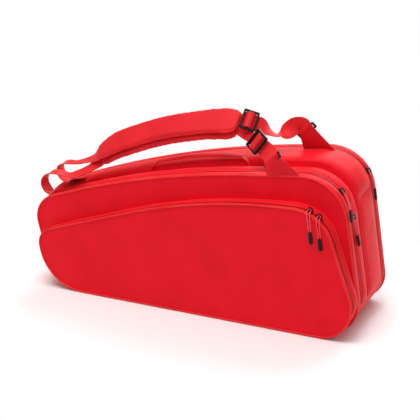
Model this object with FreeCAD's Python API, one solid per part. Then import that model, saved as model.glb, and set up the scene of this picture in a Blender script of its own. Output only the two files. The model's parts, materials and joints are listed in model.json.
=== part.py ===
"""Tournament racket bag: two zipped racket compartments, a zipped front pocket and two stacked
shoulder straps. Millimetres. +X points to the head end, -Y to the pocket side, +Z up.
The origin is on the floor, under the middle of the seam between the two compartments."""
import FreeCAD, Part
import math
import os
from FreeCAD import Vector

# ---- driving dimensions -------------------------------------------------------------------
TAIL_X = -391.0            # the tail end's upper corner before rounding
HEAD_X = 386.0             # where the head end's line meets the floor
HEAD_TOP_X = 331.5         # where the head end's line meets the top line
HEAD_HEIGHT = 334.0        # height of that upper corner before rounding
TAIL_HEIGHT = 186.5        # height of that corner
ARCH_X, ARCH_HEIGHT = -96.5, 291.0     # where the two top lines meet, under the arch
REAR_RISE = 16.0           # the rear compartment stands this much taller
HALF_DEPTH = 104.0         # half the bag's depth at x = 0
TAPER = 24.0 / 370.0       # how fast that half depth grows towards the head
WALL = 4.0                 # laminated fabric, foam and lining
FRONT_WALL = -0.62         # face of the front compartment, as a share of the half depth
FRONT_ZIP = -0.38          # zip line of the front compartment
REAR_STRIP = 11.8          # gusset behind the rear zip line, at the tail where it is narrowest
REAR_ZIP = 1 - REAR_STRIP / (HALF_DEPTH + TAPER * TAIL_X)
GROOVE = 6.0               # half the gap between the compartments
GROOVE_DEPTH = 14.0
ZIP_END = 60.0             # height at which the zips stop at both ends
HEAD_SEAM = 268.0          # height of the seam above the head end panels
TAPE = 5.0                 # width of a zip tape that shows on each side
TAPE_THICK = 2.0
ZIP_GAP = 0.4              # half the gap between two tapes
HINGE_GAP = 1.4            # between a folding wall and the base behind it
FACE_GAP = 0.5             # between fabric faces on different bodies
POCKET_WALL = 3.0
POCKET_FLOOR = 3.0         # the pocket's lower edge stands this far off the floor
POCKET_ZIP_START = -306.5  # where the pocket's zip starts, near the tail
POCKET_STRIP = 10.1        # gusset in front of the pocket's zip line, where that zip starts
POCKET_ZIP = POCKET_STRIP / (HALF_DEPTH + TAPER * POCKET_ZIP_START) - 1
BOARD = 2.5                # stiffener board in the base

SLIDER_LONG, SLIDER_WIDE, SLIDER_THICK = 14.0, 9.0, 3.0
SLIDER_LIFT = 1.2          # slider's underside above the tape
CROWN_WIDE, CROWN_HIGH, CROWN_BAR = 3.4, 5.4, 1.5
CORD = 1.8                 # diameter of a pull cord
CORD_EDGE_GAP = 3.0        # between a hanging cord and the pocket's face
POCKET_PULL_LONG = 0.54    # the pocket's pulls are this much longer, past the crown, than the route below
POCKET_PULL_LEAN = 0.14    # and hang this much towards the head end for each millimetre down
TIP_LONG, TIP_WIDE, TIP_THICK = 26.0, 8.0, 4.4
TIP_COVERS = 6.0           # how far the tip is moulded up over the cord's turn
# a pull cord's route: (distance from the crown, how far its two legs part)
PULL_ROUTE = [(0, 0.2), (0, 3.5), (4, 3.6), (10, 3.5), (18, 3.2), (29, 2.7), (38, 2.2), (44, 1.9), (48, 1.9)]
EYE_SPREAD = 0.5           # the legs' spread in a pocket slider's crown, as a share of the above
EYE_CLEAR = 8.0            # how far from the crown they have spread in full, clear of it
PULL_DRIFT = {"front_zip_upper": -0.4, "front_zip_lower": 0.25}   # how fast a pull wanders across

WEB, WEB_THICK = 36.0, 2.0
PAD_WIDE, PAD_THICK = 66.0, 12.6
PAD_STEP = PAD_THICK + 0.6  # the lower pad lies this far under the upper one
PAD_SLIP = 7.4             # and this far forward of it
FRAME_LONG, FRAME_THICK, FRAME_SIDE, FRAME_MIDDLE = 34.0, 4.5, 4.0, 6.0
WEB_GAP = 0.5              # clearance of webbing in a slot or under a frame
RING_DEEP, RING_BAR = 15.0, 4.0
TAIL_GATHER = 0.8          # width of the tail webbing where it is gathered, as a share of WEB
LOOP_WIDE, LOOP_FOOT = 30.0, 20.0      # width of the loose tail loop, and of its sewn foot
TAB_CLEAR = 3.4            # middle of a strap tab above the folding strip under it
HANDLE_WIDE, HANDLE_THICK = 24.0, 5.0
HANDLE_START, HANDLE_END = -112.0, 96.0
HANDLE_LIFT = 27.0         # underside of the handle's middle above the top line
ANCHOR_STEP, ANCHOR_THICK = 12.0, 3.0  # how far past the handle its webs are sewn down

# ---- outlines: (x, z, corner radius) ------------------------------------------------------
TAIL_FOOT_X = -344.0
FOOT_ROUND, TAIL_FOOT_ROUND, HEAD_ROUND, TAIL_ROUND, ARCH_ROUND = 60.0, 125.0, 96.0, 55.0, 1950.0


def body_outline(rise=0.0):
    """Side view of a compartment; rise lifts its top."""
    return [
        (TAIL_FOOT_X, 0.0, TAIL_FOOT_ROUND),
        (HEAD_X, 0.0, FOOT_ROUND),
        (HEAD_TOP_X, HEAD_HEIGHT + rise, HEAD_ROUND),
        (ARCH_X, ARCH_HEIGHT + rise, ARCH_ROUND),
        (TAIL_X, TAIL_HEIGHT + 0.4 * rise, TAIL_ROUND),
    ]


POCKET_OUTLINE = [
    (TAIL_FOOT_X + 2, POCKET_FLOOR, 105.0),
    (HEAD_X + 19, POCKET_FLOOR, 68.0),
    (HEAD_TOP_X - 25.5, HEAD_HEIGHT - 62, 88.0),
    (ARCH_X + 141, ARCH_HEIGHT - 25, 1270.0),
    (TAIL_X + 24.5, TAIL_HEIGHT - 59.5, 38.0),
]
FRONT, REAR = body_outline(), body_outline(REAR_RISE)


def half_depth(x):
    return HALF_DEPTH + TAPER * x


def corner(outline, i):
    """Start, middle, end and centre of the rounding at corner i of an outline, in (x, z)."""
    before, here, after = (Vector(*outline[k % len(outline)][:2], 0) for k in (i - 1, i, i + 1))
    radius = outline[i][2]
    back, ahead = (before - here).normalize(), (after - here).normalize()
    half = back.getAngle(ahead) / 2
    reach = radius / math.tan(half)
    centre = here + (back + ahead).normalize() * (radius / math.sin(half))
    middle = centre + (here - centre).normalize() * radius
    return here + back * reach, middle, here + ahead * reach, centre


def flat(v, y=0.0):
    return Vector(v.x, y, v.y)


def outline_face(outline, y, inset=0.0):
    """The outline as a face at y, drawn in by inset."""
    edges, ends = [], [corner(outline, i) for i in range(len(outline))]
    for i, (start, middle, end, _) in enumerate(ends):
        edges.append(Part.Arc(flat(start, y), flat(middle, y), flat(end, y)).toShape())
        following = ends[(i + 1) % len(ends)][0]
        if (following - end).Length > 0.01:
            edges.append(Part.LineSegment(flat(end, y), flat(following, y)).toShape())
    face = Part.Face(Part.Wire(edges))
    return face.makeOffset2D(-inset) if inset else face


REACH = 250.0              # further out than any part of the bag's depth


def prism(outline, inset=0.0):
    return outline_face(outline, -REACH, inset).extrude(Vector(0, 2 * REACH, 0))


def slab(front, front_shift, rear, rear_shift):
    """Everything between two upright planes that follow the bag's taper."""
    ends = (-500.0, 500.0)
    near = [Vector(x, front * half_depth(x) + front_shift, -100) for x in ends]
    far = [Vector(x, rear * half_depth(x) + rear_shift, -100) for x in reversed(ends)]
    return Part.Face(Part.makePolygon([*near, *far, near[0]])).extrude(Vector(0, 0, 700))


def between(low, high, left=-500.0, right=500.0):
    """A block of the side view, from height low to high."""
    return Part.makeBox(right - left, 2 * REACH, high - low, Vector(left, -REACH, low))


def shell(outline, wall, *limits):
    """The gusset of an outline, wall thick, cut to its limits."""
    ring = prism(outline).cut(prism(outline, wall))
    for limit in limits:
        ring = ring.common(limit)
    return ring


def panel(outline, *limits, inset=0.0):
    plate = prism(outline, inset)
    for limit in limits:
        plate = plate.common(limit)
    return plate


def save(name, shape):
    solids = shape.Solids
    if not solids or not all(s.isValid() and s.isClosed() for s in solids):
        raise ValueError(name + " is not a closed solid")
    made = solids[0] if len(solids) == 1 else Part.makeCompound(solids)
    made.exportStep("parts/%s.step" % name)
    print("%-24s %2d solid(s) %9.0f mm3" % (name, len(solids), made.Volume))


# ---- bag shell ----------------------------------------------------------------------------
TOP = 600.0


def make_compartments():
    """Top and head panels of both compartments, the base they share and the wall between them."""
    upper, head = between(ZIP_END, TOP), between(ZIP_END, HEAD_SEAM, left=0.0)
    rooms = {
        "front": (FRONT, slab(FRONT_ZIP, TAPE + ZIP_GAP, 0, -GROOVE)),
        "rear": (REAR, slab(0, GROOVE, REAR_ZIP, -TAPE - ZIP_GAP)),
    }
    for name, (outline, depth) in rooms.items():
        save(name + "_head_panel", shell(outline, WALL, depth, head))
        save(name + "_top_panel", shell(outline, WALL, depth, upper).cut(head))
    base_depth = slab(FRONT_WALL, WALL + HINGE_GAP, 1, -WALL - HINGE_GAP)
    save("base_panel", shell(FRONT, WALL, base_depth, between(-1, ZIP_END)))
    inner = WALL + FACE_GAP
    save("front_divider", panel(FRONT, slab(0, -GROOVE, 0, -GROOVE / 2), inset=inner))
    save("rear_divider", panel(REAR, slab(0, GROOVE / 2, 0, GROOVE), inset=inner))
    foam_gap = slab(0, -GROOVE / 2, 0, GROOVE / 2)
    save("divider_foam", panel(FRONT, foam_gap, inset=GROOVE_DEPTH))
    boards = [
        slab(FRONT_WALL, 2 * WALL + HINGE_GAP, 0, -GROOVE - 1),
        slab(0, GROOVE + 1, 1, -2 * WALL - HINGE_GAP),
    ]
    flat_start, flat_end = corner(FRONT, 0)[2].x, corner(FRONT, 1)[0].x
    layer = between(WALL, WALL + BOARD, flat_start + WALL, flat_end - WALL)
    save("base_boards", Part.makeCompound([layer.common(b) for b in boards]))


def make_lids():
    """The front and rear walls that fold out, each with its strip of gusset up to the zip."""
    upper = between(ZIP_END + FACE_GAP, TOP)
    front_face = slab(FRONT_WALL, 0, FRONT_WALL, WALL)
    save("front_wall", panel(FRONT, front_face).fuse(panel(POCKET_OUTLINE, front_face)).removeSplitter())
    front_depth = slab(FRONT_WALL, WALL, FRONT_ZIP, -TAPE - ZIP_GAP)
    save("front_lid_band", shell(FRONT, WALL, front_depth, upper))
    save("rear_wall", panel(REAR, slab(1, -WALL, 1, 0)))
    rear_depth = slab(REAR_ZIP, TAPE + ZIP_GAP, 1, -WALL)
    save("rear_lid_band", shell(REAR, WALL, rear_depth, upper))


def make_pocket():
    """Front pocket: gusset on the front wall, and a panel with its own strip in front of the zip."""
    zipped = between(ZIP_END, TOP, left=POCKET_ZIP_START)
    behind = slab(POCKET_ZIP, TAPE + ZIP_GAP, FRONT_WALL, 0)
    lower = between(-1, ZIP_END).fuse(between(ZIP_END, TOP).cut(zipped))
    whole = slab(-1, POCKET_WALL + HINGE_GAP, FRONT_WALL, 0)
    rear_strip = shell(POCKET_OUTLINE, POCKET_WALL, behind, zipped)
    save("pocket_gusset", rear_strip.fuse(shell(POCKET_OUTLINE, POCKET_WALL, whole, lower)).removeSplitter())
    save("pocket_panel", panel(POCKET_OUTLINE, slab(-1, 0, -1, POCKET_WALL)))
    ahead = slab(-1, POCKET_WALL, POCKET_ZIP, -TAPE - ZIP_GAP)
    clear = between(ZIP_END + FACE_GAP, TOP, left=POCKET_ZIP_START + FACE_GAP)
    save("pocket_flap_band", shell(POCKET_OUTLINE, POCKET_WALL, ahead, clear))


def make_zip_tapes():
    """Two tapes meet at each zip line, one on each side of the coil."""
    upper = between(ZIP_END + FACE_GAP, TOP)
    pocket_upper = between(ZIP_END + FACE_GAP, TOP, left=POCKET_ZIP_START + FACE_GAP)
    zips = {
        "front_zip": (FRONT, FRONT_ZIP, upper),
        "rear_zip": (REAR, REAR_ZIP, upper),
        "pocket_zip": (POCKET_OUTLINE, POCKET_ZIP, pocket_upper),
    }
    for name, (outline, share, zipped) in zips.items():
        ahead = slab(share, -TAPE - ZIP_GAP, share, -ZIP_GAP)
        behind = slab(share, ZIP_GAP, share, TAPE + ZIP_GAP)
        save(name + "_tape_ahead", shell(outline, TAPE_THICK, ahead, zipped))
        save(name + "_tape_behind", shell(outline, TAPE_THICK, behind, zipped))


# ---- zip sliders and their pulls ------------------------------------------------------------
ACROSS = Vector(0, 1, 0)
PIVOT_HEIGHT = SLIDER_LIFT + SLIDER_THICK + (CROWN_HIGH - CROWN_BAR) / 2


def placed(shape, origin, along, outward):
    """Moves a shape from local axes (X along, Z outward) to its place."""
    side = outward.cross(along)
    return shape.transformed(FreeCAD.Matrix(
        along.x, side.x, outward.x, origin.x,
        along.y, side.y, outward.y, origin.y,
        along.z, side.z, outward.z, origin.z,
        0, 0, 0, 1,
    ))


def block(size, centre):
    return Part.makeBox(*size, Vector(*centre) - Vector(*size) / 2)


def slider_solid():
    """Flat body with an open crown that the pull cord goes through crosswise."""
    body = block((SLIDER_LONG, SLIDER_WIDE, SLIDER_THICK), (0, 0, SLIDER_LIFT + SLIDER_THICK / 2))
    body = body.makeFillet(1.4, [e for e in body.Edges if abs(e.tangentAt(0).z) > 0.9])
    crown_long = SLIDER_LONG - 4
    foot = SLIDER_LIFT + SLIDER_THICK
    crown = block((crown_long, CROWN_WIDE, CROWN_HIGH), (0, 0, foot + CROWN_HIGH / 2))
    eye_high = CROWN_HIGH - CROWN_BAR
    eye = block((crown_long - 2 * CROWN_BAR, CROWN_WIDE, eye_high), (0, 0, foot + eye_high / 2))
    return body.fuse(crown.cut(eye)).removeSplitter()


def on_corner(outline, i, angle, share):
    """Point, direction towards the head end and outward direction on the rounding at corner i."""
    turn = math.radians(angle)
    outward = Vector(math.cos(turn), 0, math.sin(turn))
    point = flat(corner(outline, i)[3]) + outward * outline[i][2]
    point.y = share * half_depth(point.x)
    return point, ACROSS.cross(outward), outward


def head_side(outline):
    """Upper and lower end of the straight run at the head end."""
    return flat(corner(outline, 2)[0]), flat(corner(outline, 1)[2])


def on_side(outline, down, share):
    """Point, downward direction and outward direction on the head end's straight run."""
    upper, lower = head_side(outline)
    along = (lower - upper).normalize()
    point = upper + along * down
    point.y = share * half_depth(point.x)
    return point, along, along.cross(ACROSS)


def tube(points, diameter):
    """A cord's tube: straight runs joined by arcs tangent to them."""
    edges, last, tightest = [], points[0], math.inf
    for before, here, after in zip(points, points[1:], points[2:]):
        back, ahead = before - here, after - here
        reach = 0.45 * min(back.Length, ahead.Length)
        back, ahead = back.normalize(), ahead.normalize()
        half_turn = (math.pi - back.getAngle(ahead)) / 2
        radius = reach / math.tan(half_turn)
        tightest = min(tightest, radius)
        bisector = (back + ahead).normalize()
        centre = here + bisector * (radius / math.cos(half_turn))
        start, end = here + back * reach, here + ahead * reach
        edges.append(Part.LineSegment(last, start).toShape())
        edges.append(Part.Arc(start, centre - bisector * radius, end).toShape())
        last = end
    edges.append(Part.LineSegment(last, points[-1]).toShape())
    path = Part.Wire(edges)
    section = Part.Wire(Part.makeCircle(diameter / 2, points[0], points[1] - points[0]))
    made = path.makePipeShell([section], True, False)
    ideal = path.Length * math.pi * diameter ** 2 / 4
    print("cord %.1f mm long, tightest bend %.2f, volume %.3f of section times length"
          % (path.Length, tightest, made.Volume / ideal))
    return made


def over_pocket_edge(place):
    """The pull runs forward over the pocket's edge, turns flat and hangs down in front of it."""
    pivot, along = pivot_of(place), place[1]
    ahead = pivot.y + half_depth(pivot.x) + CORD / 2 + CORD_EDGE_GAP

    def line(distance):
        run = distance + POCKET_PULL_LONG * max(0.0, distance - EYE_CLEAR)
        drop = max(0.0, run - ahead)
        return pivot + Vector(drop * POCKET_PULL_LEAN, -min(run, ahead), -drop)

    def parting(distance):
        turned = min(1.0, distance / ahead)
        spread = min(1.0, EYE_SPREAD + (1 - EYE_SPREAD) * distance / EYE_CLEAR)
        return (along * (1 - turned) + Vector(turned, 0, 0)).normalize() * spread

    return line, parting


def down_head_end(place, outline, drift):
    """The pull lies round the upper corner, as far as it starts above it, and down the head end.
    drift is how fast it wanders across once it is clear of the crown, so that it hangs beside the
    slider under it."""
    pivot = pivot_of(place)
    centre = flat(corner(outline, 2)[3], pivot.y)
    upper, lower = head_side(outline)
    down = (lower - upper).normalize()
    outward = down.cross(ACROSS)
    spoke = pivot - centre
    bend = max(0.0, spoke.getAngle(outward)) if spoke.dot(down) < 0 else 0.0
    bent = bend * spoke.Length
    begin = centre + outward * spoke.Length if bend else pivot

    def line(distance):
        aside = ACROSS * (drift * max(0.0, distance - EYE_CLEAR))
        if distance >= bent:
            return begin + down * (distance - bent) + aside
        left = bend - distance / spoke.Length
        return centre + (outward * math.cos(left) - down * math.sin(left)) * spoke.Length + aside

    return line, lambda distance: ACROSS


def pull_points(line, parting):
    """One leg of the pull's cord, from its ends to the crown, and back along the other leg."""
    one = [line(distance) + parting(distance) * spread for distance, spread in PULL_ROUTE]
    other = [line(distance) - parting(distance) * spread for distance, spread in reversed(PULL_ROUTE)]
    return one + other


def sliders():
    """Each slider's outline and where it sits."""
    return {
        "front_zip_upper": (FRONT, on_corner(FRONT, 2, 43, FRONT_ZIP)),
        "front_zip_lower": (FRONT, on_side(FRONT, 0, FRONT_ZIP)),
        "rear_zip": (REAR, on_corner(REAR, 2, 32, REAR_ZIP)),
        "pocket_zip_upper": (POCKET_OUTLINE, on_corner(POCKET_OUTLINE, 2, 69.5, POCKET_ZIP)),
        "pocket_zip_lower": (POCKET_OUTLINE, on_corner(POCKET_OUTLINE, 2, 55, POCKET_ZIP)),
    }


def pivot_of(place):
    point, _, outward = place
    return point + outward * PIVOT_HEIGHT


def hanging(name, outline, place):
    """The line a pull follows and the direction in which its two legs part."""
    if outline is POCKET_OUTLINE:
        return over_pocket_edge(place)
    return down_head_end(place, outline, PULL_DRIFT.get(name, 0.0))


def make_sliders():
    for name, (outline, place) in sliders().items():
        point, along, outward = place
        save(name + "_slider", placed(slider_solid(), point, along, outward))
        line, parting = hanging(name, outline, place)
        save(name + "_cord", tube(pull_points(line, parting), CORD))
        end = PULL_ROUTE[-1][0]
        along = (line(end) - line(end - 1)).normalize()
        flat_side = parting(end) - along * along.dot(parting(end))
        tip = block((TIP_LONG, TIP_WIDE, TIP_THICK), (TIP_LONG / 2, 0, 0))
        tip = tip.makeFillet(1.2, tip.Edges)
        save(name + "_tip", placed(tip, line(end - TIP_COVERS), along, along.cross(flat_side.normalize())))


# ---- straps -----------------------------------------------------------------------------------
SLOPE = Vector(0, -1, -1).normalize()       # across the stacked pads, which lean to the front
LEAN = Vector(0, -1, 1).normalize()         # out of the upper pad's face
DRAWN_HEIGHT, DRAWN_WEB = 334.0, 36.0       # head height and webbing that the points below are for


def strap_at(x, y, z):
    """A point on a strap; it rises with the top line where the head end is made taller."""
    share = max(0.0, (x - ARCH_X) / (HEAD_TOP_X - ARCH_X))
    return Vector(x, y, z + share * (HEAD_HEIGHT - DRAWN_HEIGHT))


def lower_strap_at(x, y, z):
    """As strap_at, moved out from under the upper strap where the webbing is made wider."""
    return strap_at(x, y, z) + SLOPE * (WEB - DRAWN_WEB)


def directions(path, across):
    """The direction of a band's width, and of its face, at each point of its path."""
    found = []
    for i, wanted in enumerate(across):
        ahead = (path[min(i + 1, len(path) - 1)] - path[max(i - 1, 0)]).normalize()
        side = (wanted - ahead * wanted.dot(ahead)).normalize()
        found.append((side, ahead.cross(side)))
    return found


def loft(edges, faces, thick):
    """A solid through edges, each given by its two ends, with thick along its face's direction."""
    rings = []
    for (left, right), face in zip(edges, faces):
        half = face * (thick / 2)
        ring = [left + half, right + half, right - half, left - half]
        rings.append(Part.makePolygon([*ring, ring[0]]))
    made = Part.makeLoft(rings, True, True)
    return made if made.Volume > 0 else made.reversed()


def band(path, across, wide, thick):
    """Flat webbing along a path; across and wide give its width at each point."""
    turned = directions(path, across)
    edges = [(p + side * (w / 2), p - side * (w / 2)) for p, (side, _), w in zip(path, turned, wide)]
    return loft(edges, [face for _, face in turned], thick)


def patch(start, end, thick):
    """Flat webbing between two edges that needn't be parallel."""
    face = (end[0] - start[0]).cross(start[1] - start[0]).normalize()
    return loft([start, end], [face, face], thick)


def adjuster_frame():
    """Ladder frame: webbing goes up one slot, over the middle bar and down the other."""
    wide = WEB + 2 * WEB_GAP
    frame = block((FRAME_LONG, wide + 2 * FRAME_SIDE, FRAME_THICK), (0, 0, 0))
    frame = frame.makeFillet(2.5, [e for e in frame.Edges if abs(e.tangentAt(0).z) > 0.9])
    slot = FRAME_LONG / 2 - FRAME_SIDE - FRAME_MIDDLE / 2
    for side in (-1, 1):
        middle = side * (FRAME_MIDDLE + slot) / 2
        frame = frame.cut(block((slot, wide, FRAME_THICK), (middle, 0, 0)))
    return frame


FOLD = [(-13, -4.2), (-9, -3), (-6.5, 0), (-5, 3), (0, 4), (5, 3), (6.5, 0), (9, -3), (13, -4.2)]
UNDER_FRAME = 4.2 + WEB_THICK + WEB_GAP     # the running web's middle under the frame's middle


def fold_web():
    path = [Vector(x, 0, z) for x, z in FOLD]
    return band(path, [ACROSS] * len(path), [WEB] * len(path), WEB_THICK)


# the middle of the upper pad: (x, z, share of the full width)
PAD_STATIONS = [(-248, 298, 0.6), (-231, 311, 0.88), (-190, 336, 1), (-97, 373, 1), (0, 397, 1),
                (58, 405, 1), (78, 406, 0.82), (86, 405.5, 0.64)]
PAD_Y = -2.5


def make_pads():
    """The upper pad, and the lower one that lies under it."""
    wide = [PAD_WIDE * share for _, _, share in PAD_STATIONS]
    across = [SLOPE] * len(wide)
    upper = [strap_at(x, PAD_Y, z) for x, z, _ in PAD_STATIONS]
    turned = directions(upper, across)
    lower = [p + face * PAD_STEP + side * PAD_SLIP for p, (side, face) in zip(upper, turned)]
    save("upper_strap_pad", band(upper, across, wide, PAD_THICK))
    save("lower_strap_pad", band(lower, across, wide, PAD_THICK))


ADJUSTER_TRAVEL = {"upper": 10.0, "lower": 6.5}
WEB_START = {"upper": 15.0, "lower": 12.0}     # where the web starts, behind the frame's middle
ADJUSTERS = {      # middle of the frame, direction along the webbing, direction out of its face
    "upper": (strap_at(105, 0, 411), Vector(1, 0.25, -0.3), LEAN),
    "lower": (lower_strap_at(135, -35, 377), Vector(0.76, -0.45, -0.47), Vector(-0.32, -0.89, 0.33)),
}


def squared(name):
    """The adjuster's middle, and its two directions made square to each other."""
    middle, along, outward = ADJUSTERS[name]
    along = Vector(along).normalize()
    outward = (outward - along * outward.dot(along)).normalize()
    return middle, along, outward


def make_webbing():
    """Webbing of both straps, and the adjusters that slide on it."""
    webs = {}
    for name in ADJUSTERS:
        middle, along, outward = squared(name)
        side = along.cross(outward)
        save(name + "_strap_adjuster", placed(adjuster_frame(), middle, along, outward))
        save(name + "_strap_fold", placed(fold_web(), middle, along, outward))
        under = middle - outward * UNDER_FRAME
        end = FRAME_LONG / 2 + ADJUSTER_TRAVEL[name] + WEB_GAP
        webs[name] = (under - along * WEB_START[name], under + along * end, side)
    first, last, side = webs["upper"]
    path = [first, last, strap_at(146, 23, 384), strap_at(158, 32, 379), strap_at(169, 40, 381)]
    across = [side, side, Vector(-.1, -.8, -.55), Vector(-.3, -.7, -.6), Vector(-.45, -.55, -.65)]
    save("upper_strap_head_web", band(path, across, [WEB] * 5, WEB_THICK))
    first, last, side = webs["lower"]
    path = [strap_at(94, -3, 385), lower_strap_at(107, -12, 380), first, last]
    save("lower_strap_head_web", band(path, [SLOPE, SLOPE, side, side], [30, 22, 21, WEB], WEB_THICK))
    path = [Vector(-253.5, -2, 293), Vector(-271, 8, 282), Vector(-299, 16, 270), Vector(-322, 19, 264),
            Vector(-340, 22, 262)]
    across = [SLOPE, Vector(0, -.9, -.4), Vector(0, -1, -.2), -ACROSS, -ACROSS]
    save("upper_strap_tail_web", band(path, across, [30, 24, 24, 28, 30], WEB_THICK))
    path = [Vector(-244, -2, 281), Vector(-262, -13, 268), Vector(-290, -23, 254), Vector(-310, -27, 250)]
    across = [SLOPE, Vector(0, -.8, -.6), Vector(0, -.9, -.4), -ACROSS]
    save("lower_strap_tail_web", band(path, across, [30, 22, 24, 28], WEB_THICK))


RINGS = {          # middle, direction along the webbing, direction of its width
    "front": (strap_at(179, -62, 350), Vector(.46, -.55, -.5), Vector(.727, 0, .687)),
    "rear": (strap_at(211, 62, 385), Vector(.5, .3, -.6), Vector(.67, 0, .74)),
    "tail": (Vector(-312, 11, 229), Vector(.88, 0, .47), Vector(.2, -1, .1)),
}
TABS = {           # middle of the sewn end, its direction, its width
    "front": (strap_at(208, -74, 321.4 + TAB_CLEAR), Vector(1, 0, .1), 72),
    "rear": (strap_at(239, 72, 340.8 + TAB_CLEAR), Vector(1, 0, -.02), 72),
    "tail": (Vector(-287, 11, 238), Vector(.2, -1, .1), 34),
}
RING_WEBS = {      # from the strap's end to the ring
    "front": [strap_at(165, -49, 361), strap_at(171, -54, 357)],
    "rear": [strap_at(184, 49, 388), strap_at(195, 54, 396), strap_at(204, 58, 394)],
    "tail": [Vector(-353, 23, 257), Vector(-356, 23, 246), Vector(-351, 21, 233), Vector(-340, 17, 226),
             Vector(-326, 12, 224)],
}


def ring_solid():
    wide = WEB + 2 * WEB_GAP
    frame = block((RING_DEEP, wide + 2 * RING_BAR, RING_BAR), (0, 0, 0))
    frame = frame.makeFillet(RING_BAR * 0.7, [e for e in frame.Edges if abs(e.tangentAt(0).z) > 0.9])
    return frame.cut(block((RING_DEEP - 2 * RING_BAR, wide, RING_BAR), (0, 0, 0)))


def make_anchors():
    """Rings held by sewn tabs, the ends of the webbing in them and the loose tail loop."""
    edge = RING_DEEP / 2 + FACE_GAP
    for name, (middle, along, across) in RINGS.items():
        along = Vector(along).normalize()
        across = (across - along * across.dot(along)).normalize()
        save(name + "_ring", placed(ring_solid(), middle, along, along.cross(across)))
        web = RING_WEBS[name] + [middle - along * edge]
        share = TAIL_GATHER if name == "tail" else 1.0
        wide = [WEB * share] * (len(web) - 1) + [WEB]
        save(name + "_ring_web", band(web, [across] * len(web), wide, WEB_THICK))
        sewn, direction, width = TABS[name]
        held, half = middle + along * edge, direction.normalize() * (width / 2)
        ring_edge = (held - across * (WEB / 2), held + across * (WEB / 2))
        save(name + "_strap_tab", patch(ring_edge, (sewn - half, sewn + half), WEB_THICK))
    path = [Vector(-316, -28, 250), Vector(-334, -30, 254), Vector(-354, -30, 252), Vector(-367, -30, 240),
            Vector(-369, -30, 225), Vector(-361, -30, 211), Vector(-350, -30, 204.5)]
    save("tail_loop_web", band(path, [-ACROSS] * len(path), [LOOP_WIDE] * 6 + [LOOP_FOOT], WEB_THICK))


def top_line(outline, x):
    """Height of an outline's top at x."""
    column = Part.LineSegment(Vector(x, 0, 100), Vector(x, 0, 500)).toShape()
    return outline_face(outline, 0).common(column).BoundBox.ZMax


def make_handle():
    """Padded carry handle above the groove, on two short webs sewn down in it."""
    steps = 6
    path = []
    for i in range(steps + 1):
        x = HANDLE_START + (HANDLE_END - HANDLE_START) * i / steps
        rise = HANDLE_LIFT * (0.82 + 0.18 * math.sin(math.pi * i / steps))
        path.append(Vector(x, 2, top_line(FRONT, x) + rise))
    save("grab_handle", band(path, [ACROSS] * len(path), [HANDLE_WIDE] * len(path), HANDLE_THICK))
    anchors, anchor_wide = [], 1.5 * GROOVE - 2 * FACE_GAP
    for end, step in ((path[0], -ANCHOR_STEP), (path[-1], ANCHOR_STEP)):
        x = end.x + step
        foot = Vector(x, -GROOVE / 4, top_line(FRONT, x) - WALL + 2 * FACE_GAP)
        head = Vector(end.x + step * 0.15, -GROOVE / 4, end.z - 1)
        anchors.append(band([foot, head], [ACROSS] * 2, [anchor_wide] * 2, ANCHOR_THICK))
    save("grab_handle_anchors", Part.makeCompound(anchors))


os.makedirs("parts", exist_ok=True)
make_compartments()
make_lids()
make_pocket()
make_zip_tapes()
make_sliders()
make_pads()
make_webbing()
make_anchors()
make_handle()
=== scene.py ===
import json
import math

import bmesh
import bpy
from mathutils import Matrix, Vector, kdtree, noise


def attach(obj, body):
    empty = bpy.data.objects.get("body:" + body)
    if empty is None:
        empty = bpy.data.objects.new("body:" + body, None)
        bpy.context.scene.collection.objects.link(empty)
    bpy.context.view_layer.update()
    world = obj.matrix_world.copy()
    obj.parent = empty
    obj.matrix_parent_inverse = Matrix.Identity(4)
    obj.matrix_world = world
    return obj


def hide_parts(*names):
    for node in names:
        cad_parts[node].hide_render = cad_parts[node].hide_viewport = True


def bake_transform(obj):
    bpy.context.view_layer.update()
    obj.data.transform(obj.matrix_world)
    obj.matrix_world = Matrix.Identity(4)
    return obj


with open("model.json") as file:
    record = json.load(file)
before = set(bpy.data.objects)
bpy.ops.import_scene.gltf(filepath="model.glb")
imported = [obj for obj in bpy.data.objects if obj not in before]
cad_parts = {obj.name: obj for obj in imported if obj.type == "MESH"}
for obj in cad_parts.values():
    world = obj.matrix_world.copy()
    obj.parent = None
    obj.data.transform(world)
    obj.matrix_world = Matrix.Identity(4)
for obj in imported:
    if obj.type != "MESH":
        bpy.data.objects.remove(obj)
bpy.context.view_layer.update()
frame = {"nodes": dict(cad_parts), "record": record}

joints = {joint["name"]: joint for joint in frame["record"]["behaviour"]["joints"]}


# ---- Studio -------------------------------------------------------------------------------
# A pale floor under a large soft lamp high up, with another behind the bag, a weak one at the head
# end and an even sky. Far from the bag the floor fades into the white backdrop; near it, its shadow stays.
scene = bpy.context.scene
scene.view_settings.view_transform = "Standard"
BAG_MIDDLE = Vector((0, 0, 0.16))
CAMERA_AZIMUTH, CAMERA_HEIGHT, CAMERA_AWAY = math.radians(22.5), math.radians(19.5), 3.0
LAMPS = [(-20, 74, 54, 1.7), (60, 24, 3, 1.6), (178, 40, 55, 2.2)]    # azimuth, height, watts, size
LAMP_AWAY = 2.6
SKY_STRENGTH = 0.36
FADE_LONG, FADE_DEEP = 0.75, 0.52      # half sizes of the oval where the floor starts to fade
FADE_START, FADE_END = 0.62, 1.15      # as shares of that oval


def aimed(thing, azimuth, height, away, target=BAG_MIDDLE):
    """Puts a camera or lamp round the bag and turns it to look at the target."""
    flat = math.cos(height) * away
    place = Vector((math.sin(azimuth) * flat, -math.cos(azimuth) * flat, math.sin(height) * away))
    thing.location = target + place
    thing.rotation_euler = (-place).to_track_quat("-Z", "Y").to_euler()


bpy.ops.object.camera_add()
camera = bpy.context.object
camera.data.lens = 118.3
camera.data.sensor_width = 36
camera.data.shift_x, camera.data.shift_y = 0.017, 0.041
aimed(camera, CAMERA_AZIMUTH, CAMERA_HEIGHT, CAMERA_AWAY)
scene.camera = camera

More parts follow.
